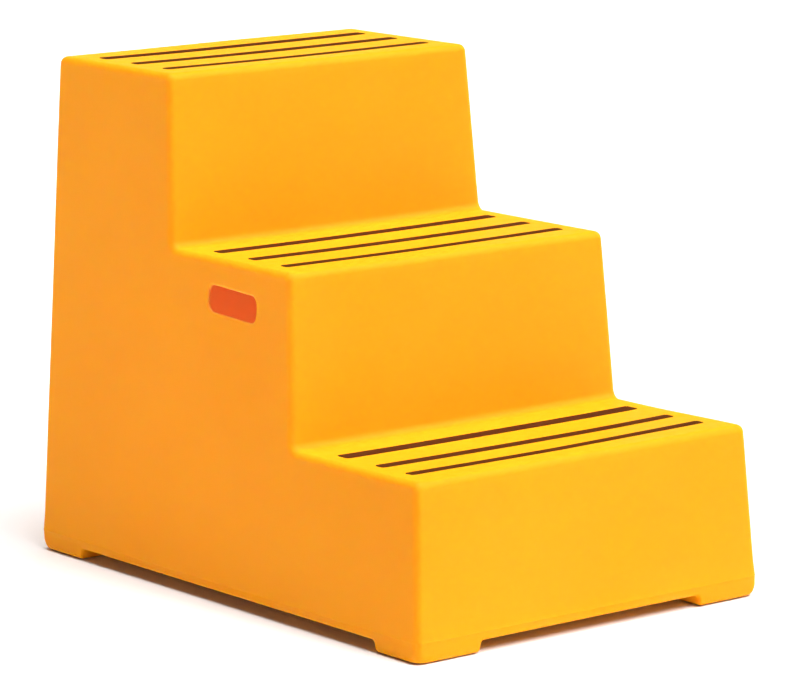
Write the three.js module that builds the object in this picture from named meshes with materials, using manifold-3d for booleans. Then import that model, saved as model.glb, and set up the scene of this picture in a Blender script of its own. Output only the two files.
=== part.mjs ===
// A three-step mounting block: one hollow rotationally moulded polyethylene body with a hand hole
// in each side and four moulded feet, three rubber grip strips let into each tread, and a push-in
// rubber pad under each foot. It has no moving parts.
//
// Millimetres, +Z up. The origin is on the floor at the middle of the footprint. The steps face -Y,
// and +X is to the right of a person who climbs them.

import * as THREE from 'three';
import { mergeVertices } from 'three/addons/utils/BufferGeometryUtils.js';
import Module from 'manifold-3d';

const wasm = await Module();
wasm.setup();

// ---- Driving dimensions ---------------------------------------------------------------------------

const OVERALL_WIDTH = 508; // at the mould parting line, where the body is widest
const OVERALL_DEPTH = 729;
const TREAD_HEIGHTS = [200, 399, 600]; // above the floor
const GOINGS = [238, 239]; // horizontal distance from one nose to the next

const PARTING_HEIGHT = 25;
const FLARE = 1.3; // how far the walls turn outwards just above the parting line
const FLARE_TOP = 48;
const SIDE_DRAFT = THREE.MathUtils.degToRad(3);
const RISER_DRAFT = THREE.MathUtils.degToRad(4);
const BACK_DRAFT = THREE.MathUtils.degToRad(1);
const LOWER_DRAFT = THREE.MathUtils.degToRad(2); // below the parting line the walls lean in again

const WALL = 5.5;
const NOSE_RADIUS = 10.5; // also the top edge of the back
const SIDE_RADIUS = 10; // where a side meets a tread, a riser or the back
const INNER_CORNER_RADIUS = 12; // where a riser meets the tread below it
const FOOT_EDGE_RADIUS = 5;
const LEAST_EDGE_RADIUS = 2; // of the edges inside the hollow
const ARC_STEPS = 5; // facets in a quarter round

const PAD_PROUD = 1.5; // how far the rubber pads hold the moulded feet off the floor
const BASE_HEIGHT = 14.5; // underside of the body between the feet
const FRONT_FOOT_LENGTH = 76;
const REAR_FOOT_LENGTH = 82;
const FOOT_WIDTH = 89;
const FOOT_DRAFT = THREE.MathUtils.degToRad(20); // slope of the faces that look inwards

const STRIP_NAMES = ['front', 'middle', 'rear'];
const STRIP_SETBACKS = [[48, 100, 166], [47, 108, 173], [47, 109, 173]]; // behind the nose of each tread
const STRIP_WIDTHS = [[14, 15, 20], [14, 15.5, 17.5], [14, 16.5, 17.5]];
const STRIP_END_MARGIN = 27; // from the end of a strip to the side of the body
const STRIP_PROUD = 0.5;
const STRIP_CORNER_RADIUS = 3;
const GROOVE_DEPTH = 4;
const FIT_GAP = 0.3;

const HAND_HOLE_LENGTH = 92;
const HAND_HOLE_HEIGHT = 31.5;
const HAND_HOLE_RADIUS = 11;
const HAND_HOLE_TILT = THREE.MathUtils.degToRad(2.5); // its front end is the lower one
const HAND_HOLE_Y = -6;
const HAND_HOLE_Z = 350.5;

const PAD_RADIUS = 19;
const PAD_RECESS_DEPTH = 3.5;
const PAD_CHAMFER = 0.8;
const STEM_RADIUS = 6;
const BARB_RADIUS = 8;
const BARB_HEIGHT = 5;
const PAD_SIDES = 40;

const YELLOW_PLASTIC = new THREE.MeshStandardMaterial({ color: 0xf5b523, roughness: 0.5, metalness: 0 });
const STRIP_RUBBER = new THREE.MeshStandardMaterial({ color: 0x3a2412, roughness: 0.8, metalness: 0 });
const PAD_RUBBER = new THREE.MeshStandardMaterial({ color: 0x1c1b1a, roughness: 0.85, metalness: 0 });

// ---- Planes of the body ---------------------------------------------------------------------------

const WALL_WIDTH = OVERALL_WIDTH - 2 * FLARE; // of the straight walls, carried down to the parting line
const WALL_DEPTH = OVERALL_DEPTH - 2 * FLARE;
const riseTo = (z, draft) => (z - PARTING_HEIGHT) * Math.tan(draft);
const halfWidthAt = (z) => WALL_WIDTH / 2 - riseTo(z, SIDE_DRAFT);
const frontAt = (z) => -WALL_DEPTH / 2 + riseTo(z, RISER_DRAFT);
const backAt = (z) => WALL_DEPTH / 2 - riseTo(z, BACK_DRAFT);

const NOSES = [frontAt(TREAD_HEIGHTS[0])];
for (const going of GOINGS) NOSES.push(NOSES.at(-1) + going);

const BELOW = -30; // cutting solids start here, clear of the underside
const CLEAR = 40; // and run this far past the faces that they cut
const MERGE_DISTANCE = 1e-4; // vertices this close are one

// ---- Solids ---------------------------------------------------------------------------------------

/** A closed BufferGeometry as a manifold-3d solid. */
function solidOf(geometry) {
  const bare = geometry.clone();
  bare.deleteAttribute('normal');
  bare.deleteAttribute('uv');
  const merged = mergeVertices(bare, MERGE_DISTANCE);
  return new wasm.Manifold(new wasm.Mesh({
    numProp: 3,
    vertProperties: new Float32Array(merged.attributes.position.array),
    triVerts: new Uint32Array(merged.index.array),
  }));
}

/** A manifold-3d solid as a BufferGeometry with flat facets. */
function geometryOf(solid) {
  const { vertProperties, triVerts } = solid.getMesh();
  const geometry = new THREE.BufferGeometry();
  geometry.setAttribute('position', new THREE.BufferAttribute(new Float32Array(vertProperties), 3));
  geometry.setIndex(new THREE.BufferAttribute(new Uint32Array(triVerts), 1));
  const faceted = geometry.toNonIndexed();
  faceted.computeVertexNormals();
  return faceted;
}

/** Moves every vertex of a geometry by the function move(x, y, z), which returns the new place. */
function reshape(geometry, move) {
  const position = geometry.attributes.position;
  for (let i = 0; i < position.count; i++) {
    position.setXYZ(i, ...move(position.getX(i), position.getY(i), position.getZ(i)));
  }
  return geometry;
}

/** Turns an outline drawn in (Y, Z) and extruded along its third axis so that it runs along +X. */
const alongX = (geometry) => reshape(geometry, (y, z, x) => [x, y, z]);

/** Turns an outline drawn in (X, Z) and extruded along its third axis so that it runs along -Y. */
const alongY = (geometry) => reshape(geometry, (x, z, y) => [x, -y, z]);

/** Points that round a corner at which a path with this heading turns by turn radians. */
function roundedCorner([y, z], heading, turn, radius) {
  const reach = radius * Math.tan(Math.abs(turn) / 2);
  const side = Math.sign(turn);
  const centre = [
    y - reach * Math.cos(heading) - side * radius * Math.sin(heading),
    z - reach * Math.sin(heading) + side * radius * Math.cos(heading),
  ];
  const steps = Math.max(1, Math.round(ARC_STEPS * Math.abs(turn) / (Math.PI / 2)));
  return Array.from({ length: steps + 1 }, (_, step) => {
    const angle = heading + turn * step / steps;
    return new THREE.Vector2(
      centre[0] + side * radius * Math.sin(angle),
      centre[1] - side * radius * Math.cos(angle),
    );
  });
}

/** The outline of the straight lines { point, angle }, in order, with radiusAt(turn) at its corners. */
function outlineOf(lines, radiusAt) {
  return lines.flatMap(({ point: [y, z], angle }, i) => {
    const next = lines[(i + 1) % lines.length];
    const turn = THREE.MathUtils.euclideanModulo(next.angle - angle + Math.PI, 2 * Math.PI) - Math.PI;
    const along = ((next.point[0] - y) * Math.sin(next.angle) - (next.point[1] - z) * Math.cos(next.angle))
      / Math.sin(turn);
    const corner = [y + along * Math.cos(angle), z + along * Math.sin(angle)];
    return roundedCorner(corner, angle, turn, radiusAt(turn));
  });
}

/** The stepped side view in (Y, Z) down to just below the parting line, every face moved in by inset. */
function stepOutline(inset) {
  const up = Math.PI / 2;
  const lines = [
    { point: [0, PARTING_HEIGHT - NOSE_RADIUS], angle: 0 },
    { point: [backAt(0) - inset / Math.cos(BACK_DRAFT), 0], angle: up + BACK_DRAFT },
  ];
  for (let step = TREAD_HEIGHTS.length - 1; step >= 0; step--) {
    const z = TREAD_HEIGHTS[step];
    lines.push({ point: [0, z - inset], angle: Math.PI });
    lines.push({ point: [NOSES[step] + inset / Math.cos(RISER_DRAFT), z], angle: -up - RISER_DRAFT });
  }
  return outlineOf(lines, (turn) => (turn > 0 ? NOSE_RADIUS - inset : INNER_CORNER_RADIUS + inset));
}

/** The stepped block with drafted sides and rounded side edges, every face moved in by inset. */
function steppedBlock(inset) {
  const radius = SIDE_RADIUS - inset;
  const geometry = new THREE.ExtrudeGeometry(new THREE.Shape(stepOutline(inset)), {
    depth: WALL_WIDTH - 2 * inset - 2 * radius,
    bevelThickness: radius,
    bevelSize: radius,
    bevelOffset: -radius,
    bevelSegments: ARC_STEPS,
    steps: 1,
  });
  alongX(geometry.translate(0, 0, inset + radius - WALL_WIDTH / 2));
  return reshape(geometry, (x, y, z) => [x - Math.sign(x) * riseTo(z, SIDE_DRAFT), y, z]);
}

/** A rectangle around the origin with round corners, as a THREE.Shape. */
function roundedRectangle(width, height, radius) {
  const corners = [[1, 0, 0], [0, 1, Math.PI / 2], [-1, 0, Math.PI], [0, -1, -Math.PI / 2]];
  const lines = corners.map(([right, top, normal]) => ({
    point: [right * width / 2, top * height / 2], angle: normal + Math.PI / 2,
  }));
  return new THREE.Shape(outlineOf(lines, () => radius));
}

/** Moves the walls of a block outwards at each height, its sides by one amount and its ends by another. */
const taper = (geometry, sideMove, endMove) => reshape(
  geometry,
  (x, y, z) => [x + Math.sign(x) * sideMove(z), y + Math.sign(y) * endMove(z, Math.sign(y)), z],
);

/** The skirt: it leans out from the feet to the parting line and turns in again to meet the walls. */
function skirt(inset) {
  const radius = SIDE_RADIUS - inset;
  const plan = roundedRectangle(OVERALL_WIDTH - 2 * inset, OVERALL_DEPTH - 2 * inset, radius);
  const edge = Math.max(FOOT_EDGE_RADIUS - inset, LEAST_EDGE_RADIUS);
  const bottom = PAD_PROUD + inset;
  const lower = new THREE.ExtrudeGeometry(plan, {
    depth: PARTING_HEIGHT - bottom - edge,
    bevelThickness: edge,
    bevelSize: edge,
    bevelOffset: -edge,
    bevelSegments: ARC_STEPS,
  }).translate(0, 0, bottom + edge);
  const upper = new THREE.ExtrudeGeometry(plan, {
    depth: FLARE_TOP - PARTING_HEIGHT,
    bevelEnabled: false,
  }).translate(0, 0, PARTING_HEIGHT);
  const lean = (z) => riseTo(Math.min(z, PARTING_HEIGHT), LOWER_DRAFT);
  const turnIn = (z, draft) => (z > PARTING_HEIGHT ? -FLARE - riseTo(z, draft) : 0);
  taper(lower, lean, lean);
  taper(
    upper,
    (z) => turnIn(z, SIDE_DRAFT),
    (z, side) => turnIn(z, side < 0 ? RISER_DRAFT : BACK_DRAFT),
  );
  return solidOf(lower).add(solidOf(upper));
}

/** The recess under the body between two rows of feet, from low to high at the floor. */
function footGap(low, high, grow) {
  const up = Math.PI / 2;
  const top = BASE_HEIGHT + grow;
  const lines = [
    { point: [0, BELOW], angle: 0 },
    { point: [high + grow, 0], angle: up + FOOT_DRAFT },
    { point: [0, top], angle: Math.PI },
    { point: [low - grow, 0], angle: -up - FOOT_DRAFT },
  ];
  return new THREE.Shape(outlineOf(lines, () => FOOT_EDGE_RADIUS));
}

/** The two crossing recesses that leave the four feet. */
function underside(grow) {
  const across = new THREE.ExtrudeGeometry(
    footGap(frontAt(0) + FRONT_FOOT_LENGTH, backAt(0) - REAR_FOOT_LENGTH, grow),
    { depth: OVERALL_WIDTH + 2 * CLEAR, bevelEnabled: false },
  );
  const halfGap = halfWidthAt(0) - FOOT_WIDTH;
  const lengthwise = new THREE.ExtrudeGeometry(
    footGap(-halfGap, halfGap, grow),
    { depth: OVERALL_DEPTH + 2 * CLEAR, bevelEnabled: false },
  );
  alongX(across.translate(0, 0, -OVERALL_WIDTH / 2 - CLEAR));
  alongY(lengthwise.translate(0, 0, -OVERALL_DEPTH / 2 - CLEAR));
  return solidOf(across).add(solidOf(lengthwise));
}

/** The places of the strips: one entry for each, from the lowest tread's front strip upwards. */
const STRIPS = TREAD_HEIGHTS.flatMap((height, step) => STRIP_NAMES.map((name, i) => ({
  name: `tread_${step + 1}_strip_${name}`,
  y: NOSES[step] + STRIP_SETBACKS[step][i],
  z: height,
  width: STRIP_WIDTHS[step][i],
  length: 2 * (halfWidthAt(height) - STRIP_END_MARGIN),
})));

/** The bar that fills a strip's groove, every side of it moved out by grow. */
function stripBar({ y, z, width, length }, grow, top) {
  const plan = roundedRectangle(length + 2 * grow, width + 2 * grow, STRIP_CORNER_RADIUS + grow);
  const bottom = z - GROOVE_DEPTH - grow;
  const geometry = new THREE.ExtrudeGeometry(plan, { depth: top - bottom, bevelEnabled: false });
  return geometry.translate(0, y, bottom);
}

/** The middle of the underside of each foot. */
const FEET = ['front', 'rear'].flatMap((end) => ['left', 'right'].map((side) => ({
  name: `foot_pad_${end}_${side}`,
  x: (side === 'left' ? -1 : 1) * (halfWidthAt(PARTING_HEIGHT) - FOOT_WIDTH / 2),
  y: end === 'front' ? frontAt(0) + FRONT_FOOT_LENGTH / 2 : backAt(0) - REAR_FOOT_LENGTH / 2,
})));

/** A solid of revolution round a foot's vertical axis, from profile points [radius, z]. */
function turned({ x, y }, points) {
  const profile = points.map(([radius, z]) => new THREE.Vector2(radius, z));
  return new THREE.LatheGeometry(profile, PAD_SIDES).rotateX(Math.PI / 2).translate(x, y, 0);
}

/** The recess for a pad in the underside of a foot. */
const padRecess = (foot, grow) => turned(foot, [
  [0, BELOW],
  [PAD_RADIUS + FIT_GAP + grow, BELOW],
  [PAD_RADIUS + FIT_GAP + grow, PAD_PROUD + PAD_RECESS_DEPTH + grow],
  [0, PAD_PROUD + PAD_RECESS_DEPTH + grow],
]);

/** The hole through the foot's wall for the stem of a pad. */
const stemHole = (foot) => turned(foot, [
  [0, BELOW],
  [STEM_RADIUS + FIT_GAP, BELOW],
  [STEM_RADIUS + FIT_GAP, CLEAR],
  [0, CLEAR],
]);

/** A pad: a disc on the floor, a stem through the wall and a barb that holds it from inside. */
function footPad(foot) {
  const seat = PAD_PROUD + PAD_RECESS_DEPTH - FIT_GAP;
  const inside = PAD_PROUD + PAD_RECESS_DEPTH + WALL + FIT_GAP;
  return turned(foot, [
    [0, 0],
    [PAD_RADIUS - PAD_CHAMFER, 0],
    [PAD_RADIUS, PAD_CHAMFER],
    [PAD_RADIUS, seat],
    [STEM_RADIUS, seat],
    [STEM_RADIUS, inside],
    [BARB_RADIUS, inside],
    [STEM_RADIUS - PAD_CHAMFER, inside + BARB_HEIGHT],
    [0, inside + BARB_HEIGHT],
  ]);
}

/** The body as if it were solid, with every face moved into the material by inset. */
function formOf(inset) {
  let form = solidOf(steppedBlock(inset)).add(skirt(inset));
  form = form.subtract(underside(inset));
  for (const strip of STRIPS) {
    form = form.subtract(solidOf(stripBar(strip, FIT_GAP + inset, strip.z + CLEAR)));
  }
  for (const foot of FEET) form = form.subtract(solidOf(padRecess(foot, inset)));
  return form;
}

/** The slot that goes through both sides at one height, for the two hand holes. */
function handHoles() {
  const outline = roundedRectangle(HAND_HOLE_LENGTH, HAND_HOLE_HEIGHT, HAND_HOLE_RADIUS);
  const depth = OVERALL_WIDTH + 2 * CLEAR;
  const geometry = new THREE.ExtrudeGeometry(outline, { depth, bevelEnabled: false });
  geometry.rotateZ(HAND_HOLE_TILT).translate(HAND_HOLE_Y, HAND_HOLE_Z, -depth / 2);
  return alongX(geometry);
}

/** The hollow body with its hand holes and stem holes cut through the wall. */
function mouldedBody() {
  let body = formOf(0).subtract(formOf(WALL));
  body = body.subtract(solidOf(handHoles()));
  for (const foot of FEET) body = body.subtract(solidOf(stemHole(foot)));
  return geometryOf(body);
}

// ---- The part -------------------------------------------------------------------------------------

const group = new THREE.Group();

function addPiece(name, geometry, material) {
  const mesh = new THREE.Mesh(geometry, material);
  mesh.name = name;
  group.add(mesh);
}

addPiece('moulded_body', mouldedBody(), YELLOW_PLASTIC);
for (const strip of STRIPS) addPiece(strip.name, stripBar(strip, 0, strip.z + STRIP_PROUD), STRIP_RUBBER);
for (const foot of FEET) addPiece(foot.name, footPad(foot), PAD_RUBBER);

export default group;
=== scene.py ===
"""Looks of the three-step mounting block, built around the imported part.

Metres, +Z up, the steps facing -Y, as in the part's own frame. The hollow moulded body, its grip strips
and its foot pads are each rebuilt as a fine mesh in the place of their plain solids.
"""

import math

import bpy
import numpy as np
from mathutils import Matrix, Vector


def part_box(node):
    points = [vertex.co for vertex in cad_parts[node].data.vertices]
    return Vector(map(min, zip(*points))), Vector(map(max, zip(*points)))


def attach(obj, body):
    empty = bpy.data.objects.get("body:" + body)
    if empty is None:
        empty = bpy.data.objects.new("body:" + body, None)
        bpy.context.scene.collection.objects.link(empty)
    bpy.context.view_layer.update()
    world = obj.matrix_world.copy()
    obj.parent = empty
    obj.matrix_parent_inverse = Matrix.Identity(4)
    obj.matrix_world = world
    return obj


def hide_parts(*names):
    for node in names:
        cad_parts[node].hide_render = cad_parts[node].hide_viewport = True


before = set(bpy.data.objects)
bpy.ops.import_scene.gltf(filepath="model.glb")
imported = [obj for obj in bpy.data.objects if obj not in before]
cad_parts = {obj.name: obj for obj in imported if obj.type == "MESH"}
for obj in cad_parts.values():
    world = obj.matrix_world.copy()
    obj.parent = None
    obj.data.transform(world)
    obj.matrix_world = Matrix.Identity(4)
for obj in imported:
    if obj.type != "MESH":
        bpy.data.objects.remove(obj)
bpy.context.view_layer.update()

# ---- Driving dimensions -----------------------------------------------------------------------------

MM = 0.001
PLACES = ("front", "middle", "rear")
CORNERS = [(end, side) for end in ("front", "rear") for side in ("left", "right")]

SIDE_DRAFT = math.tan(math.radians(3))
RISER_DRAFT = math.tan(math.radians(4))
BACK_DRAFT = math.tan(math.radians(1))
LOWER_LEAN = math.tan(math.radians(5))  # how the walls turn in below the parting line
FOOT_DRAFT = math.radians(8)

WALL = 5.5 * MM
SIDE_RADIUS = 8.5 * MM
FLOOR_CORNER_RADIUS = 17 * MM  # what the corners' radius grows to at the floor
NOSE_RADIUS = 9.5 * MM
INNER_CORNER_RADIUS = 10 * MM
BOTTOM_RADIUS = 6 * MM
SKIRT_RADIUS = 4 * MM
FOOT_CORNER_RADIUS = 8 * MM

GOINGS = (238 * MM, 239 * MM)  # from one nose to the next
PARTING_HEIGHT = 25 * MM
FLARE_TOP = 48 * MM
CAD_FLARE = 1.3 * MM
FLARE = 0.75 * MM
FLASH = 0.3 * MM  # the fine raised line that the mould's joint leaves
FLASH_HALF_HEIGHT = 0.9 * MM

PAD_PROUD = 1.5 * MM
PAD_RECESS = 3.5 * MM
BASE_HEIGHT = 14.5 * MM
FRONT_FOOT_LENGTH = 78.5 * MM  # the feet are measured half-way up
REAR_FOOT_LENGTH = 84.5 * MM
FOOT_WIDTH = 91.5 * MM

STRIP_PROUD = 0.5 * MM
STRIP_CORNER = 3 * MM
FIT_GAP = 0.3 * MM
GROOVE_DEPTH = 4 * MM

HAND_HOLE_Y = -6 * MM
HAND_HOLE_Z = 350.5 * MM
HAND_HOLE_SIZE = (92 * MM, 31.5 * MM)
HAND_HOLE_RADIUS = 11 * MM
HAND_HOLE_TILT = math.radians(2.5)  # its front end is the lower one

TREAD_SAG = 1.5 * MM
LIP_LIFT = 2.2 * MM  # how far the lowest tread's front edge has drawn up, most of all at its right end
ARC_STEPS = 8  # mesh lines in a quarter round
GRID_SPACING = 13 * MM
LEAST_SPACING = 0.45 * MM

# ---- Planes of the body, from the frame -------------------------------------------------------------

body_low, body_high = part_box("moulded_body")
STRIP_BOXES = [[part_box(f"tread_{step}_strip_{place}") for place in PLACES] for step in (1, 2, 3)]
PAD_BOXES = {corner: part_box("foot_pad_%s_%s" % corner) for corner in CORNERS}
TREADS = [row[0][1].z - STRIP_PROUD for row in STRIP_BOXES]
NOSES = [body_low.y + CAD_FLARE + (TREADS[0] - PARTING_HEIGHT) * RISER_DRAFT]
for going in GOINGS:
    NOSES.append(NOSES[-1] + going)


def half_width(z):
    return body_high.x - CAD_FLARE - (z - PARTING_HEIGHT) * SIDE_DRAFT


def riser(step, z):
    return NOSES[step] - (TREADS[step] - z) * RISER_DRAFT


def back(z):
    return body_high.y - CAD_FLARE - (z - PARTING_HEIGHT) * BACK_DRAFT


GAP_X = half_width(0) - FOOT_WIDTH
GAP_FRONT = riser(0, 0) + FRONT_FOOT_LENGTH
GAP_BACK = back(0) - REAR_FOOT_LENGTH


# ---- Distance to the rounded body -------------------------------------------------------------------


def rounded_outline(lines, radius_at):
    """Points of a closed outline given by (point, heading) lines, each corner rounded by radius_at(turn)."""
    points = []
    for i, ((y, z), heading) in enumerate(lines):
        (next_y, next_z), next_heading = lines[(i + 1) % len(lines)]
        turn = (next_heading - heading + math.pi) % (2 * math.pi) - math.pi
        along = (next_y - y) * math.sin(next_heading) - (next_z - z) * math.cos(next_heading)
        along /= math.sin(turn)
        radius = radius_at(turn)
        side = math.copysign(1, turn)
        back_off = along - radius * math.tan(abs(turn) / 2)
        centre_y = y + back_off * math.cos(heading) - side * radius * math.sin(heading)
        centre_z = z + back_off * math.sin(heading) + side * radius * math.cos(heading)
        arm = side * radius
        for angle in np.linspace(heading, heading + turn, 2 * ARC_STEPS + 1):
            points.append((centre_y + arm * math.sin(angle), centre_z - arm * math.cos(angle)))
    return np.array(points)


def stepped_outline():
    """The side view of the block as an outline in (y, z), carried down well below the floor."""
    up = math.pi / 2
    below = -60 * MM
    lines = [((0, below), 0.0), ((back(0), 0), up + math.atan(BACK_DRAFT))]
    for step in (2, 1, 0):
        lines.append(((0, TREADS[step]), math.pi))
        lines.append(((NOSES[step], TREADS[step]), -up - math.atan(RISER_DRAFT)))
    return rounded_outline(lines, lambda turn: NOSE_RADIUS if turn > 0 else INNER_CORNER_RADIUS)


OUTLINE = stepped_outline()


def outline_distance(y, z):
    """Signed distance in the (y, z) plane to the stepped outline, negative inside."""
    start = OUTLINE
    edge = np.roll(OUTLINE, -1, axis=0) - OUTLINE
    distance = np.empty(len(y))
    block = 4000
    for first in range(0, len(y), block):
        rows = slice(first, first + block)
        rel_y = y[rows, None] - start[None, :, 0]
        rel_z = z[rows, None] - start[None, :, 1]
        t = (rel_y * edge[:, 0] + rel_z * edge[:, 1]) / (edge ** 2).sum(1)
        t = np.clip(t, 0, 1)
        near = np.hypot(rel_y - t * edge[:, 0], rel_z - t * edge[:, 1]).min(1)
        crosses = (rel_z < 0) != (rel_z < edge[:, 1])
        slope = edge[:, 0] / np.where(edge[:, 1] == 0, 1, edge[:, 1])
        inside = (crosses & (rel_y < rel_z * slope)).sum(1) % 2 == 1
        distance[rows] = np.where(inside, -near, near)
    return distance


def smooth(t):
    t = np.clip(t, 0, 1)
    return t * t * (3 - 2 * t)


def round_max(a, b, radius):
    """The intersection of two distances, with its edge rounded."""
    flat = np.minimum(np.maximum(a, b), -radius)
    arc = np.hypot(np.maximum(a + radius, 0), np.maximum(b + radius, 0))
    return flat + arc


def corner_radius(z):
    """The radius of the upright corners, larger towards the floor."""
    return SIDE_RADIUS + (FLOOR_CORNER_RADIUS - SIDE_RADIUS) * smooth(1 - z / BASE_HEIGHT)


def body_distance(p, inset):
    """Signed distance to the body's skin moved in by inset: the rounded steps less the foot gaps."""
    x, y, z = p.T
    side = (np.abs(x) - half_width(z)) * math.cos(math.atan(SIDE_DRAFT))
    walls = round_max(outline_distance(y, z) + inset, side + inset, corner_radius(z) - inset)
    edge_radius = BOTTOM_RADIUS - 0.8 * inset  # a small radius is left on the inner skin
    body = round_max(walls, PAD_PROUD + inset - z, edge_radius)
    lean = (z - BASE_HEIGHT / 2) * math.tan(FOOT_DRAFT)
    cosine = math.cos(FOOT_DRAFT)
    middle = (GAP_FRONT + GAP_BACK) / 2
    under = z - BASE_HEIGHT
    across = round_max(under, (np.abs(y - middle) - (GAP_BACK - GAP_FRONT) / 2 + lean) * cosine, SKIRT_RADIUS)
    lengthwise = round_max(under, (np.abs(x) - GAP_X + lean) * cosine, SKIRT_RADIUS)
    gap = -round_max(-across, -lengthwise, FOOT_CORNER_RADIUS)
    return round_max(body, -(gap - inset), SKIRT_RADIUS)


def gradient(p, inset):
    step = 0.02 * MM
    here = body_distance(p, inset)
    slopes = [(body_distance(p + step * axis, inset) - here) / step for axis in np.eye(3)]
    return here, np.stack(slopes, 1)


def onto_skin(p, inset):
    """Moves points onto the rounded skin, and returns them with the directions out of it."""
    for _ in range(5):
        distance, normal = gradient(p, inset)
        p = p - distance[:, None] * normal / np.maximum((normal ** 2).sum(1), 0.3)[:, None]
    normal = gradient(p, inset)[1]
    return p, normal / np.linalg.norm(normal, axis=1)[:, None]


# ---- Mesh lines: a warped rectilinear grid whose planes lie in the body's faces -------------------------


def x_keys(z, inset=0.0):
    width = half_width(z) - inset
    gap = (GAP_X + inset) * np.ones_like(width)
    return np.stack([-width, -gap, gap, width])


def y_keys(z, inset=0.0):
    one = np.ones_like(z)
    return np.stack([
        riser(0, z) + inset,
        (GAP_FRONT - inset) * one,
        riser(1, z) + inset,
        riser(2, z) + inset,
        (GAP_BACK + inset) * one,
        back(z) - inset,
    ])


def z_keys(inset=0.0):
    return np.array([PAD_PROUD + inset, BASE_HEIGHT + inset] + [tread - inset for tread in TREADS])


def parameter(keys, value):
    """Where a coordinate lies among the keys: the number of its stretch plus the fraction along it."""
    stretch = int(np.clip(np.searchsorted(keys, value, side="right") - 1, 0, len(keys) - 2))
    return stretch + (value - keys[stretch]) / (keys[stretch + 1] - keys[stretch])


def arc_offsets(radius):
    """Distances from a sharp edge of the lines that land evenly round its arc."""
    return [radius * (1 - math.tan(math.pi / 4 * i / (ARC_STEPS / 2))) for i in range(ARC_STEPS // 2)]


def mesh_lines(keys, needed, wanted):
    """Sorted parameters: every needed line, the wanted ones that keep clear of the rest, and even filling."""

    def metric(s):
        return np.interp(s, np.arange(len(keys)), keys)

    lines = sorted(set(float(i) for i in range(len(keys))) | set(needed))
    for s in wanted:
        if min(abs(metric(s) - metric(line)) for line in lines) > LEAST_SPACING:
            lines.append(s)
    lines.sort()
    filled = []
    for low, high in zip(lines, lines[1:]):
        count = max(1, math.ceil((metric(high) - metric(low)) / GRID_SPACING))
        filled += [low + (high - low) * i / count for i in range(count)]
    return np.array(filled + [lines[-1]])


WINDOW_MARGIN = 4.5 * MM  # from a groove to the edge of its window in the grid
HOLE_MARGIN = 12 * MM
PAD_MARGIN = 5 * MM
STRIP_WINDOW_SHARE = 0.909  # of the tread's half-width


def x_lines():
    z = TREADS[0]
    keys = x_keys(z)
    needed = [parameter(keys, sign * STRIP_WINDOW_SHARE * half_width(z)) for sign in (-1, 1)]
    foot_keys = x_keys(PAD_PROUD)
    for low, high in PAD_BOXES.values():
        needed += [parameter(foot_keys, x) for x in (low.x - PAD_MARGIN, high.x + PAD_MARGIN)]
    wanted = []
    for sign in (-1, 1):
        corner = arc_offsets(SIDE_RADIUS) + arc_offsets(FLOOR_CORNER_RADIUS)
        wanted += [parameter(keys, sign * (half_width(z) - t)) for t in corner]
        for t in arc_offsets(SKIRT_RADIUS):
            wanted += [parameter(keys, sign * (GAP_X + t)), parameter(keys, sign * (GAP_X - t))]
    return mesh_lines(keys, needed, wanted)


def y_lines():
    needed, wanted = [], []
    for step, row in enumerate(STRIP_BOXES):
        keys = y_keys(TREADS[step])
        for low, high in row:
            needed += [parameter(keys, low.y - WINDOW_MARGIN), parameter(keys, high.y + WINDOW_MARGIN)]
        wanted += [parameter(keys, NOSES[step] + t) for t in arc_offsets(NOSE_RADIUS)]
        if step < 2:
            foot_of_riser = riser(step + 1, TREADS[step])
            wanted += [parameter(keys, foot_of_riser - t) for t in arc_offsets(INNER_CORNER_RADIUS)]
    wanted += [parameter(keys, back(TREADS[2]) - t) for t in arc_offsets(NOSE_RADIUS)]
    for end in (-1, 1):
        y = HAND_HOLE_Y + end * (HAND_HOLE_SIZE[0] / 2 + HOLE_MARGIN)
        needed.append(parameter(y_keys(HAND_HOLE_Z), y))
    foot_keys = y_keys(PAD_PROUD)
    for t in arc_offsets(FLOOR_CORNER_RADIUS):
        wanted += [parameter(foot_keys, riser(0, 0) + t), parameter(foot_keys, back(0) - t)]
    for low, high in PAD_BOXES.values():
        needed += [parameter(foot_keys, y) for y in (low.y - PAD_MARGIN, high.y + PAD_MARGIN)]
    for t in arc_offsets(SKIRT_RADIUS):
        for y in (GAP_FRONT, GAP_BACK):
            wanted += [parameter(foot_keys, y - t), parameter(foot_keys, y + t)]
    hole_keys = y_keys(HAND_HOLE_Z)
    hole_half = HAND_HOLE_SIZE[0] / 2
    wanted += [parameter(hole_keys, HAND_HOLE_Y + t * hole_half) for t in np.linspace(-1.1, 1.1, 19)]
    return mesh_lines(y_keys(TREADS[1]), needed, wanted)


def z_lines():
    keys = z_keys()
    needed = [parameter(keys, HAND_HOLE_Z + end * (HAND_HOLE_SIZE[1] / 2 + HOLE_MARGIN)) for end in (-1, 1)]
    needed += [parameter(keys, PARTING_HEIGHT + t * FLASH_HALF_HEIGHT) for t in (-1, -0.5, 0, 0.5, 1)]
    wanted = [parameter(keys, z) for z in np.linspace(PARTING_HEIGHT, FLARE_TOP, 6)[1:]]
    wanted += [parameter(keys, PAD_PROUD + t) for t in arc_offsets(BOTTOM_RADIUS)]
    for t in arc_offsets(SKIRT_RADIUS):
        wanted += [parameter(keys, BASE_HEIGHT + t), parameter(keys, BASE_HEIGHT - t)]
    for step, tread in enumerate(TREADS):
        wanted += [parameter(keys, tread - t) for t in arc_offsets(NOSE_RADIUS)]
        if step < 2:
            wanted += [parameter(keys, tread + t) for t in arc_offsets(INNER_CORNER_RADIUS)]
    hole_half = HAND_HOLE_SIZE[1] / 2
    wanted += [parameter(keys, HAND_HOLE_Z + t * hole_half) for t in np.linspace(-1.2, 1.2, 9)]
    return mesh_lines(keys, needed, wanted)


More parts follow.
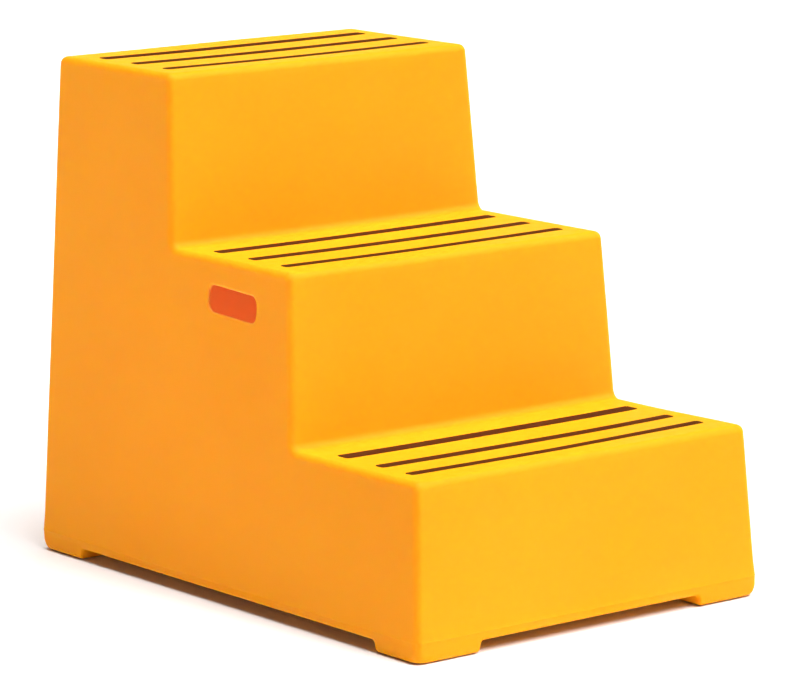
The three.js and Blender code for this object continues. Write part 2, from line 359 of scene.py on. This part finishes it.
X_LINES, Y_LINES, Z_LINES = x_lines(), y_lines(), z_lines()


def from_keys(keys, s):
    """Coordinates at parameters s, where keys has one row per key and one column per point."""
    stretch = np.minimum(s.astype(int), len(keys) - 2)
    columns = np.arange(len(s))
    low, high = keys[stretch, columns], keys[stretch + 1, columns]
    return low + (high - low) * (s - stretch)


def grid_points(index, inset):
    """Places of grid vertices (i, j, k) before their edges are rounded."""
    i, j, k = index.T
    heights = z_keys(inset)
    z = np.interp(Z_LINES[k], np.arange(len(heights)), heights)
    x = from_keys(x_keys(z, inset), X_LINES[i])
    y = from_keys(y_keys(z, inset), Y_LINES[j])
    return np.stack([x, y, z], 1)


def boundary_quads():
    """Corner indices (n, 4, 3) of every cell face on the outside of the body, with axis, plane and side."""
    stretch = [((lines[1:] + lines[:-1]) / 2).astype(int) for lines in (X_LINES, Y_LINES, Z_LINES)]
    x, y, z = np.meshgrid(*stretch, indexing="ij")
    # Stretches between the keys: z 0 holds the feet and 1 to 3 the steps, whose risers start y 0, 2 and 3.
    feet = (z == 0) & (x != 1) & ((y == 0) | (y == 4))
    filled = feet | (z == 1) | ((z == 2) & (y >= 2)) | ((z == 3) & (y >= 3))
    filled = np.pad(filled, 1)
    quads, tags = [], []
    for axis in range(3):
        others = [(axis + 1) % 3, (axis + 2) % 3]
        step = np.diff(filled.astype(int), axis=axis)
        for sign in (-1, 1):
            found = np.argwhere(step == -sign)
            found[:, others] -= 1
            corners = np.repeat(found[:, None, :], 4, axis=1)
            corners[:, 1:3, others[0]] += 1
            corners[:, 2:4, others[1]] += 1
            quads.append(corners if sign > 0 else corners[:, ::-1])
            tags.append(np.stack([np.full(len(found), axis), found[:, axis], np.full(len(found), sign)], 1))
    return np.concatenate(quads), np.concatenate(tags)


# ---- Settling: how the cooled moulding departs from its ideal planes ----------------------------------


SAG_RUN_IN = 55 * MM  # depth over which the sag sets in behind a nose
SAG_RUN_OUT = 40 * MM  # and over which it ends before the next riser
SAG_RUN_OUT_BACK = 60 * MM  # and before the back
SAG_REACH = 45 * MM  # how far from a tread's level the walls still feel it
LIP_RUN = 60 * MM  # depth of the lift of the lowest nose at the middle and left
LIP_RUN_MORE = 120 * MM  # what is added to it at the right end
WAVE_HEIGHT = 0.07 * MM
WAVES = (  # radians per metre along x, y and z, and a phase
    (7.1, 12.3, 9.7, 0.4),
    (-15.2, 6.4, 11.8, 2.1),
    (10.9, -14.6, 17.3, 4.4),
    (21.7, 9.3, -13.1, 1.3),
)
AXIS_PHASE = 2.1  # from the wave of one axis to the next


def settled(p):
    """The points after the treads have sagged, the lowest nose has drawn up and the panels have waved."""
    x, y, z = p.T
    moved = p.copy()
    across = np.clip(1 - (x / half_width(z)) ** 2, 0, 1)
    for step, tread in enumerate(TREADS):
        behind = smooth((y - NOSES[step]) / SAG_RUN_IN)
        if step == 2:
            ahead = smooth((back(tread) - y) / SAG_RUN_OUT_BACK)
        else:
            ahead = smooth((riser(step + 1, tread) + SAG_RUN_OUT - y) / SAG_RUN_OUT)
        near = smooth(1.2 - np.abs(z - tread) / SAG_REACH)  # whole within a fifth of the reach
        moved[:, 2] -= TREAD_SAG * across * behind * ahead * near
    sideways = x / half_width(z)
    front = 1 - smooth((y - NOSES[0]) / (LIP_RUN + LIP_RUN_MORE * np.clip(sideways, 0, 1)))
    half_way_up = TREADS[0] / 2
    high_up = smooth((z - half_way_up) / half_way_up)
    share = 0.75 + 0.25 * sideways  # half as much at the left end as at the right
    moved[:, 2] += LIP_LIFT * share * front * high_up
    for axis in range(3):
        for a, b, c, phase in WAVES:
            turn = a * x + b * y + c * z + phase + AXIS_PHASE * axis
            moved[:, axis] += WAVE_HEIGHT * np.sin(turn)
    return moved


def flare(z):
    """How far the walls stand out from their straight planes near the parting line."""
    above = FLARE * smooth((FLARE_TOP - z) / (FLARE_TOP - PARTING_HEIGHT))
    below = FLARE - (PARTING_HEIGHT - z) * LOWER_LEAN
    ridge = FLASH * np.clip(1 - np.abs(z - PARTING_HEIGHT) / FLASH_HALF_HEIGHT, 0, 1)
    return np.where(z > PARTING_HEIGHT, above, below) + ridge


# ---- Body -------------------------------------------------------------------------------------------


class Skin:
    """Vertices and faces of one mesh, gathered piece by piece."""

    def __init__(self):
        self.points = np.zeros((0, 3))
        self.faces = []
        self.insideness = []

    def add_points(self, points, inside=0.0):
        """Adds points, which lie on the skin that faces outwards (0), on the one inside (1) or between."""
        first = len(self.points)
        self.points = np.concatenate([self.points, points])
        self.insideness += [inside] * len(points)
        return np.arange(first, len(self.points))

    def add_band(self, outer, inner):
        """Quads between two closed loops of the same length."""
        turned = np.stack([outer, np.roll(outer, -1), np.roll(inner, -1), inner], 1)
        self.faces += turned.tolist()

    def make(self, name):
        mesh = bpy.data.meshes.new(name)
        mesh.from_pydata(self.points.tolist(), [], self.faces)
        mesh.attributes.new("inside", "FLOAT", "POINT").data.foreach_set("value", self.insideness)
        mesh.validate()
        mesh.shade_smooth()
        piece = bpy.data.objects.new(name, mesh)
        bpy.context.scene.collection.objects.link(piece)
        return piece


def window_loop(axis, plane, low, high, side):
    """Grid indices round a window in one plane of the grid, anticlockwise as seen from outside."""
    first, second = (axis + 1) % 3, (axis + 2) % 3
    (a0, b0), (a1, b1) = low, high
    ring = [(a, b0) for a in range(a0, a1)] + [(a1, b) for b in range(b0, b1)]
    ring += [(a, b1) for a in range(a1, a0, -1)] + [(a0, b) for b in range(b1, b0, -1)]
    index = np.zeros((len(ring), 3), int)
    index[:, axis] = plane
    index[:, [first, second]] = ring
    return index if side > 0 else index[::-1]


def nearest_line(lines, s):
    return int(np.argmin(np.abs(lines - s)))


def span(lines, keys, low, high):
    return [nearest_line(lines, parameter(keys, value)) for value in (low, high)]


def windows():
    """Every opening in the skin: its plane in the grid, its outline and the section that its edge follows."""
    lip = WALL / 2
    quarter = np.linspace(0, math.pi / 2, 6)
    hole_section = [(lip * (1 - math.sin(a)), lip * (1 - math.cos(a))) for a in np.linspace(0, math.pi, 13)]
    groove_lip = 0.9 * MM
    groove_section = [(groove_lip * (1 - math.sin(a)), groove_lip * (1 - math.cos(a))) for a in quarter]
    groove_section += [(0, 0.7 * GROOVE_DEPTH), (0, GROOVE_DEPTH), (-1.5 * MM, GROOVE_DEPTH)]
    stem_offset = -13 * MM  # from the side of a pad's recess in to its stem hole
    pad_section = groove_section[:len(quarter)]
    pad_section += [(0, PAD_RECESS), (-4 * MM, PAD_RECESS), (stem_offset, PAD_RECESS), (stem_offset, WALL)]
    found = []
    top = {0: nearest_line(Z_LINES, 2), 1: nearest_line(Z_LINES, 3), 2: nearest_line(Z_LINES, 4)}
    for step, row in enumerate(STRIP_BOXES):
        keys = y_keys(TREADS[step])
        share = STRIP_WINDOW_SHARE * half_width(TREADS[0])
        xs = span(X_LINES, x_keys(TREADS[0]), -share, share)
        for low, high in row:
            ys = span(Y_LINES, keys, low.y - WINDOW_MARGIN, high.y + WINDOW_MARGIN)
            found.append({
                "axis": 2, "plane": top[step], "side": 1, "low": (xs[0], ys[0]), "high": (xs[1], ys[1]),
                "centre": ((low + high) / 2).to_2d(), "size": (high - low).to_2d() + Vector((2, 2)) * FIT_GAP,
                "radius": STRIP_CORNER + FIT_GAP, "section": groove_section, "through": False, "tilt": 0.0,
            })
    y_low, y_high = (HAND_HOLE_Y + end * (HAND_HOLE_SIZE[0] / 2 + HOLE_MARGIN) for end in (-1, 1))
    z_low, z_high = (HAND_HOLE_Z + end * (HAND_HOLE_SIZE[1] / 2 + HOLE_MARGIN) for end in (-1, 1))
    ys = span(Y_LINES, y_keys(HAND_HOLE_Z), y_low, y_high)
    zs = span(Z_LINES, z_keys(), z_low, z_high)
    for side, plane in ((-1, 0), (1, len(X_LINES) - 1)):
        found.append({
            "axis": 0, "plane": plane, "side": side, "low": (ys[0], zs[0]), "high": (ys[1], zs[1]),
            "centre": Vector((HAND_HOLE_Y, HAND_HOLE_Z)), "size": Vector(HAND_HOLE_SIZE),
            "radius": HAND_HOLE_RADIUS, "section": hole_section, "through": True, "tilt": HAND_HOLE_TILT,
        })
    for low, high in PAD_BOXES.values():
        xs = span(X_LINES, x_keys(PAD_PROUD), low.x - PAD_MARGIN, high.x + PAD_MARGIN)
        ys = span(Y_LINES, y_keys(PAD_PROUD), low.y - PAD_MARGIN, high.y + PAD_MARGIN)
        across = high.x - low.x + 2 * FIT_GAP
        found.append({
            "axis": 2, "plane": 0, "side": -1, "low": (xs[0], ys[0]), "high": (xs[1], ys[1]),
            "centre": ((low + high) / 2).to_2d(), "size": Vector((across, across)),
            "radius": across / 2, "section": pad_section, "through": True, "tilt": 0.0,
        })
    return found


def face_plane(window, u, v, depth):
    """Points at a depth under a window's face, from coordinates (u, v) in it."""
    if window["axis"] == 0:
        side = window["side"]
        lean = math.atan(SIDE_DRAFT)
        return np.stack([
            side * (half_width(v) - depth * math.cos(lean)), u, v - depth * math.sin(lean)], 1)
    height = TREADS[tread_of(window)] if window["side"] > 0 else PAD_PROUD
    return np.stack([u, v, np.full(len(u), height - window["side"] * depth)], 1)


def tread_of(window):
    return int(round(Z_LINES[window["plane"]])) - 2


def edge_of_window(skin, window, outer, inner):
    """Fills the space between a window in the grid and its opening, and follows its edge inwards."""
    first = 1 if window["axis"] == 0 else 0
    place = skin.points[outer][:, first:first + 2]
    core = np.array(window["size"]) / 2 - window["radius"]
    cosine, sine = math.cos(window["tilt"]), math.sin(window["tilt"])
    tilted = np.array([[cosine, sine], [-sine, cosine]])
    rel = (place - np.array(window["centre"])) @ tilted.T
    corner = np.clip(rel, -core, core)
    reach = np.linalg.norm(rel - corner, axis=1)
    direction = (rel - corner) / reach[:, None]
    widest = window["section"][0][0]
    # Three rings cross the flat between the window and the lip, nearer each other towards the lip.
    rings = [(widest + (reach - window["radius"] - widest) * t, 0.0) for t in (0.66, 0.36, 0.14)]
    rings += window["section"]
    previous = outer
    deepest = max(WALL, rings[-1][1])
    for offset, depth in rings:
        rel = corner + direction * np.reshape(window["radius"] + offset, (-1, 1))
        at = np.array(window["centre"]) + rel @ tilted
        # Across the lip of a through hole the colour turns part-way to the inner skin's painted glow.
        inside = depth / deepest if window["through"] else 0.0
        ring = skin.add_points(face_plane(window, at[:, 0], at[:, 1], depth), inside)
        skin.add_band(previous, ring)
        previous = ring
    if window["through"]:
        skin.add_band(previous, inner)
    else:
        skin.faces.append(previous.tolist())


def moulded_body():
    """The hollow body: an outer and an inner skin that meet round the hand holes and the pads' stems."""
    quads, tags = boundary_quads()
    openings = windows()
    kept = {True: np.ones(len(quads), bool), False: np.ones(len(quads), bool)}
    for window in openings:
        axis = window["axis"]
        others = [(axis + 1) % 3, (axis + 2) % 3]
        corner_low = quads.min(1)[:, others]
        here = (tags[:, 0] == axis) & (tags[:, 1] == window["plane"]) & (tags[:, 2] == window["side"])
        here &= (corner_low >= window["low"]).all(1) & (corner_low < window["high"]).all(1)
        kept[True] &= ~here
        if window["through"]:
            kept[False] &= ~here
    counts = (len(X_LINES), len(Y_LINES), len(Z_LINES))
    skin = Skin()
    lookups = {}
    for outside, inset in ((True, 0.0), (False, WALL)):
        flat = np.ravel_multi_index(quads[kept[outside]].reshape(-1, 3).T, counts)
        used, inverse = np.unique(flat, return_inverse=True)
        index = np.stack(np.unravel_index(used, counts), 1)
        points, normals = onto_skin(grid_points(index, inset), inset)
        level = np.linalg.norm(normals[:, :2], axis=1)
        outward = flare(points[:, 2]) * level * (1 if outside else 0)
        points += outward[:, None] * normals * (1, 1, 0)
        ids = skin.add_points(points, 0.0 if outside else 1.0)
        faces = ids[inverse].reshape(-1, 4)
        skin.faces += (faces if outside else faces[:, ::-1]).tolist()
        lookups[outside] = dict(zip(used.tolist(), ids.tolist()))
    for window in openings:
        loop = window_loop(window["axis"], window["plane"], window["low"], window["high"], window["side"])
        flat = np.ravel_multi_index(loop.T, counts).tolist()
        outer = np.array([lookups[True][v] for v in flat])
        inner = np.array([lookups[False].get(v, -1) for v in flat])
        edge_of_window(skin, window, outer, inner)
    skin.points = settled(skin.points)
    return skin.make("block_body")


# ---- Rubber pieces ----------------------------------------------------------------------------------


def ribbed_section(width):
    """Half-outline of a strip's top across its width, as (y, rise), with rounded ribs along the strip."""
    rib_pitch = 2.4 * MM
    rib_height = 0.7 * MM
    flat = 1.2 * MM  # of the plain border each side
    count = max(2, round((width - 2 * flat) / rib_pitch))
    ribs = np.linspace(-width / 2 + flat, width / 2 - flat, 8 * count + 1)
    phase = (ribs - ribs[0]) / (ribs[-1] - ribs[0]) * count
    rise = -rib_height * (0.5 + 0.5 * np.cos(2 * math.pi * phase)) ** 2
    edge = 0.5 * MM
    arc = np.linspace(0, math.pi / 2, 5)[:-1]
    left_y = -width / 2 + edge * (1 - np.sin(math.pi / 2 - arc))
    left_rise = -edge * (1 - np.cos(math.pi / 2 - arc))
    y = np.concatenate([left_y, ribs, -left_y[::-1]])
    return y, np.concatenate([left_rise, rise, left_rise[::-1]])


BASE_GAP = 0.4 * MM  # from the plain solid's base up to the strip's


def grip_strip(name, low, high):
    """A rubber strip: ribs along its top, round corners in plan, and a flat base in its groove."""
    length = high.x - low.x
    width = high.y - low.y
    section_y, rise = ribbed_section(width)
    over_corner = np.clip(np.abs(section_y) - (width / 2 - STRIP_CORNER), 0, None)
    half_length = length / 2 - STRIP_CORNER + np.sqrt(STRIP_CORNER ** 2 - over_corner ** 2)
    rounding = ((0, 0.6), (0.12, 0.3), (0.35, 0.1), (0.7, 0))  # millimetres from the end and below the top
    end_drop = [(1.0 - t * MM / (length / 2), drop * MM) for t, drop in rounding]
    body = [(share, 0.0) for share in np.linspace(-0.985, 0.985, 34)]  # between the rounded ends
    stations = [(-share, drop) for share, drop in end_drop] + body + end_drop[::-1]
    skin = Skin()
    base = low.z + BASE_GAP
    previous = None
    for share, drop in stations:
        x = (low.x + high.x) / 2 + share * half_length
        y = (low.y + high.y) / 2 + section_y
        z = high.z + rise - drop
        top = np.stack([x, y, z], 1)
        under = top[[-1, 0]] * (1, 1, 0) + (0, 0, base)
        loop = skin.add_points(np.concatenate([top, under]))
        if previous is None:
            skin.faces.append(loop.tolist())
        else:
            skin.add_band(loop, previous)
        previous = loop
    skin.faces.append(previous[::-1].tolist())
    skin.points = settled(skin.points)
    return skin.make(name)


PAD_STEM = 6 * MM
PAD_BARB = 8 * MM
PAD_GROOVE = 0.8 * MM
PAD_RIM = 0.9 * MM
PAD_BEVEL = 0.4 * MM
PAD_SIDES = 64


def pad_profile(radius, top):
    """Half-section of a pad as (radius, height) from the middle of its sole round to the tip of its stem."""
    seat = PAD_PROUD + PAD_RECESS - FIT_GAP
    inside = PAD_PROUD + PAD_RECESS + WALL + FIT_GAP
    middle = 0.5 * MM
    profile = [(middle, 0.0)]
    for r in np.arange(4, 16.1, 4) * MM:
        profile += [
            (r - 0.7 * MM, 0.0),
            (r - 0.4 * MM, PAD_GROOVE),
            (r + 0.4 * MM, PAD_GROOVE),
            (r + 0.7 * MM, 0.0),
        ]
    for a in np.linspace(0, math.pi / 2, 5):
        profile.append((radius - PAD_RIM + PAD_RIM * math.sin(a), PAD_RIM - PAD_RIM * math.cos(a)))
    profile += [
        (radius, seat - PAD_BEVEL),
        (radius - PAD_BEVEL, seat),
        (PAD_STEM + 0.6 * MM, seat),
        (PAD_STEM, seat + 0.6 * MM),
        (PAD_STEM, inside),
        (PAD_BARB - 0.3 * MM, inside),
        (PAD_BARB, inside + 0.3 * MM),
        (PAD_BARB - 0.2 * MM, inside + 1 * MM),
        (PAD_STEM - 0.8 * MM, top - PAD_BEVEL),
        (PAD_STEM - 1.4 * MM, top),
        (middle, top),
    ]
    return profile


def foot_pad(name, low, high):
    """A push-in pad: rings of tread on its sole, a rounded rim, and a stem with a barb above."""
    angles = np.linspace(0, 2 * math.pi, PAD_SIDES, endpoint=False)
    centre = (low + high) / 2
    skin = Skin()
    previous = None
    for r, z in pad_profile((high.x - low.x) / 2, high.z):
        x = centre.x + r * np.cos(angles)
        y = centre.y + r * np.sin(angles)
        loop = skin.add_points(np.stack([x, y, np.full(PAD_SIDES, z)], 1))
        if previous is None:
            skin.faces.append(loop[::-1].tolist())
        else:
            skin.add_band(previous, loop)
        previous = loop
    skin.faces.append(previous.tolist())
    return skin.make(name)


# ---- Materials --------------------------------------------------------------------------------------


class Nodes:
    """A material's node tree with short calls to add to it."""

    def __init__(self, name):
        self.material = bpy.data.materials.new(name)
        self.material.use_nodes = True
        self.tree = self.material.node_tree
        self.shader = self.tree.nodes["Principled BSDF"]
        self.place = self.add("ShaderNodeTexCoord").outputs["Object"]

    def add(self, kind, links=(), **settings):
        node = self.tree.nodes.new(kind)
        for key, value in settings.items():
            setattr(node, key, value)
        for socket, value in links:
            if isinstance(value, bpy.types.NodeSocket):
                self.tree.links.new(value, node.inputs[socket])
            else:
                node.inputs[socket].default_value = value
        return node

    def noise(self, scale, detail=3.0, roughness=0.5, stretch=None):
        place = self.place
        if stretch is not None:
            place = self.add("ShaderNodeMapping", [("Vector", place), ("Scale", stretch)]).outputs[0]
        links = [("Vector", place), ("Scale", scale), ("Detail", detail), ("Roughness", roughness)]
        return self.add("ShaderNodeTexNoise", links).outputs["Fac"]

    def ramp(self, value, low, high, to_low, to_high):
        links = [("Value", value), ("From Min", low), ("From Max", high)]
        links += [("To Min", to_low), ("To Max", to_high)]
        return self.add("ShaderNodeMapRange", links).outputs["Result"]

    def mix(self, share, a, b):
        node = self.add("ShaderNodeMix", data_type="RGBA")
        for name, value in (("Factor_Float", share), ("A_Color", a), ("B_Color", b)):
            socket = next(s for s in node.inputs if s.identifier == name)
            if isinstance(value, bpy.types.NodeSocket):
                self.tree.links.new(value, socket)
            else:
                socket.default_value = value
        return next(s for s in node.outputs if s.identifier == "Result_Color")

    def bump(self, height, strength, distance, under=None):
        links = [("Height", height), ("Strength", strength), ("Distance", distance)]
        if under is not None:
            links.append(("Normal", under))
        return self.add("ShaderNodeBump", links).outputs["Normal"]

    def finish(self, **values):
        for name, value in values.items():
            socket = self.shader.inputs[name.replace("_", " ")]
            if isinstance(value, bpy.types.NodeSocket):
                self.tree.links.new(value, socket)
            else:
                socket.default_value = value
        return self.material


YELLOW = (0.85, 0.313, 0.006, 1)
YELLOW_DEEP = (0.84, 0.301, 0.005, 1)
INNER_SKIN_PAINTED_GLOW = (0.90, 0.40, 0.12, 1)  # the inner skin's yellow made paler and less saturated, as painted light for the tinted glow that the thin walls let into the hollow


def yellow_polyethylene():
    """Rotationally moulded polyethylene: an even, slightly translucent yellow with a faint orange peel."""
    n = Nodes("yellow_polyethylene")
    cloud = n.ramp(n.noise(5.0, 2.0), 0.35, 0.65, 0.0, 1.0)
    inside = n.add("ShaderNodeAttribute", attribute_name="inside").outputs["Fac"]
    # The inner skin takes its paler colour here: painted light that stands in for the glow inside the hollow.
    colour = n.mix(inside, n.mix(cloud, YELLOW, YELLOW_DEEP), INNER_SKIN_PAINTED_GLOW)
    roughness = n.ramp(n.noise(60.0, 3.0), 0.3, 0.7, 0.46, 0.56)
    peel = n.bump(n.noise(260.0, 2.0), 0.12, 0.35 * MM)
    grain = n.bump(n.noise(1400.0, 2.0), 0.10, 0.1 * MM, peel)
    n.shader.subsurface_method = "RANDOM_WALK"
    return n.finish(
        Base_Color=colour, Roughness=roughness, Normal=grain, IOR=1.5, Specular_IOR_Level=0.07,
        Subsurface_Weight=1.0, Subsurface_Scale=1.0, Subsurface_Radius=(6 * MM, 3.5 * MM, 1.5 * MM))


def strip_rubber():
    """Dark brown rubber with a matt, finely grained skin, paler where boots have rubbed the ribs."""
    n = Nodes("strip_rubber")
    worn = n.ramp(n.noise(90.0, 5.0, 0.6, (0.25, 1, 1)), 0.5, 0.8, 0.0, 1.0)
    colour = n.mix(worn, (0.070, 0.016, 0.002, 1), (0.100, 0.028, 0.005, 1))
    roughness = n.ramp(n.noise(300.0, 3.0), 0.3, 0.7, 0.62, 0.8)
    grain = n.bump(n.noise(1800.0, 3.0), 0.3, 0.12 * MM)
    return n.finish(Base_Color=colour, Roughness=roughness, Normal=grain, Specular_IOR_Level=0.06)


def pad_rubber():
    """Near-black moulded rubber with dust in its grain."""
    n = Nodes("pad_rubber")
    dust = n.ramp(n.noise(160.0, 5.0, 0.6), 0.5, 0.8, 0.0, 1.0)
    colour = n.mix(dust, (0.018, 0.017, 0.016, 1), (0.055, 0.048, 0.040, 1))
    roughness = n.ramp(n.noise(300.0, 3.0), 0.3, 0.7, 0.68, 0.85)
    grain = n.bump(n.noise(1500.0, 3.0), 0.35, 0.12 * MM)
    return n.finish(Base_Color=colour, Roughness=roughness, Normal=grain, Specular_IOR_Level=0.3)


# ---- Studio -----------------------------------------------------------------------------------------


def studio_floor():
    """A wide pale floor that also fills the background."""
    skin = Skin()
    reach = 60.0
    corners = [(-reach, -reach, 0), (reach, -reach, 0), (reach, reach, 0), (-reach, reach, 0)]
    skin.add_points(np.array(corners))
    skin.faces.append([0, 1, 2, 3])
    floor = skin.make("studio_floor")
    n = Nodes("studio_floor")
    tone = n.ramp(n.noise(3.0), 0.3, 0.7, 0.0, 1.0)
    colour = n.mix(tone, (0.87, 0.87, 0.87, 1), (0.89, 0.89, 0.89, 1))
    floor.data.materials.append(n.finish(Base_Color=colour, Roughness=0.9, Specular_IOR_Level=0.0))


def sky():
    """A white studio wall round the horizon that fades to a dim ceiling."""
    world = bpy.data.worlds.new("studio_walls")
    world.use_nodes = True
    bpy.context.scene.world = world
    nodes, links = world.node_tree.nodes, world.node_tree.links
    place = nodes.new("ShaderNodeTexCoord")
    height = nodes.new("ShaderNodeSeparateXYZ")
    ramp = nodes.new("ShaderNodeMapRange")
    ramp.interpolation_type = "SMOOTHSTEP"
    for name, value in (("From Min", 0.10), ("From Max", 0.25), ("To Min", 1.0), ("To Max", 0.05)):
        ramp.inputs[name].default_value = value
    links.new(place.outputs["Generated"], height.inputs[0])
    links.new(height.outputs["Z"], ramp.inputs["Value"])
    nodes["Background"].inputs["Color"].default_value = (1, 1, 1, 1)
    links.new(ramp.outputs["Result"], nodes["Background"].inputs["Strength"])


def soft_light(name, azimuth, elevation, angle, strength):
    """An even soft light from far off, azimuth degrees right of the front, elevation above the floor."""
    light = bpy.data.lights.new(name, "SUN")
    light.angle = math.radians(angle)
    light.energy = strength
    lamp = bpy.data.objects.new(name, light)
    lamp.rotation_euler = (math.radians(90 - elevation), 0, math.radians(azimuth))
    bpy.context.scene.collection.objects.link(lamp)


def glow_inside():
    """The daylight that the thin walls let into the hollow, as a large dim lamp in the middle of it."""
    light = bpy.data.lights.new("glow_inside", "POINT")
    light.shadow_soft_size = 0.08
    light.energy = 0.8
    light.color = (1.0, 0.66, 0.56)
    lamp = bpy.data.objects.new("glow_inside", light)
    lamp.location = (0, (NOSES[1] + body_high.y) / 2, TREADS[1] / 2)
    lamp.visible_camera = False
    bpy.context.scene.collection.objects.link(lamp)


CAMERA_ANGLES = (-38.498, 11.104, -0.281)  # azimuth, elevation and roll in degrees
CAMERA_TARGET = (-0.00082, 0.00061, 0.2407)
CAMERA_DISTANCE = 5.2754
FOCAL_LENGTH = 201.8  # this and the width of the sensor are in millimetres
SENSOR_WIDTH = 36
LENS_SHIFT = (0.0133, 0.0351)


def camera():
    """A long lens from the front left, a little above the block."""
    azimuth, elevation, roll = (math.radians(angle) for angle in CAMERA_ANGLES)
    level = math.cos(elevation)
    away = Vector((math.sin(azimuth) * level, -math.cos(azimuth) * level, math.sin(elevation)))
    right = Vector((0, 0, 1)).cross(away).normalized()
    up = away.cross(right)
    turned_right = right * math.cos(roll) + up * math.sin(roll)
    turned_up = up * math.cos(roll) - right * math.sin(roll)
    data = bpy.data.cameras.new("camera")
    data.lens = FOCAL_LENGTH
    data.sensor_width = SENSOR_WIDTH
    data.shift_x, data.shift_y = LENS_SHIFT
    data.clip_end = 200
    eye = bpy.data.objects.new("camera", data)
    turn = Matrix((turned_right, turned_up, away)).transposed().to_4x4()
    eye.matrix_world = Matrix.Translation(Vector(CAMERA_TARGET) + CAMERA_DISTANCE * away) @ turn
    bpy.context.scene.collection.objects.link(eye)
    bpy.context.scene.camera = eye


# ---- The scene --------------------------------------------------------------------------------------


def stand_for(piece, node, material):
    """The piece rides on the part, takes its material and hides the plain solid it stands for."""
    piece.data.materials.append(material)
    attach(piece, "root")
    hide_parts(node)


camera()
bpy.context.scene.view_settings.view_transform = "Standard"
studio_floor()
sky()
soft_light("overhead_light", 0, 88, 35, 3.05)
soft_light("front_light", 0, 50, 35, 1.24)
soft_light("right_light", 35, 50, 35, 2.57)
glow_inside()

stand_for(moulded_body(), "moulded_body", yellow_polyethylene())
strip_material = strip_rubber()
for step_number, row in enumerate(STRIP_BOXES, 1):
    for place, (low, high) in zip(PLACES, row):
        strip = grip_strip(f"grip_strip_{step_number}_{place}", low, high)
        stand_for(strip, f"tread_{step_number}_strip_{place}", strip_material)
pad_material = pad_rubber()
for (end, side), (low, high) in PAD_BOXES.items():
    pad = foot_pad(f"rubber_pad_{end}_{side}", low, high)
    stand_for(pad, f"foot_pad_{end}_{side}", pad_material)
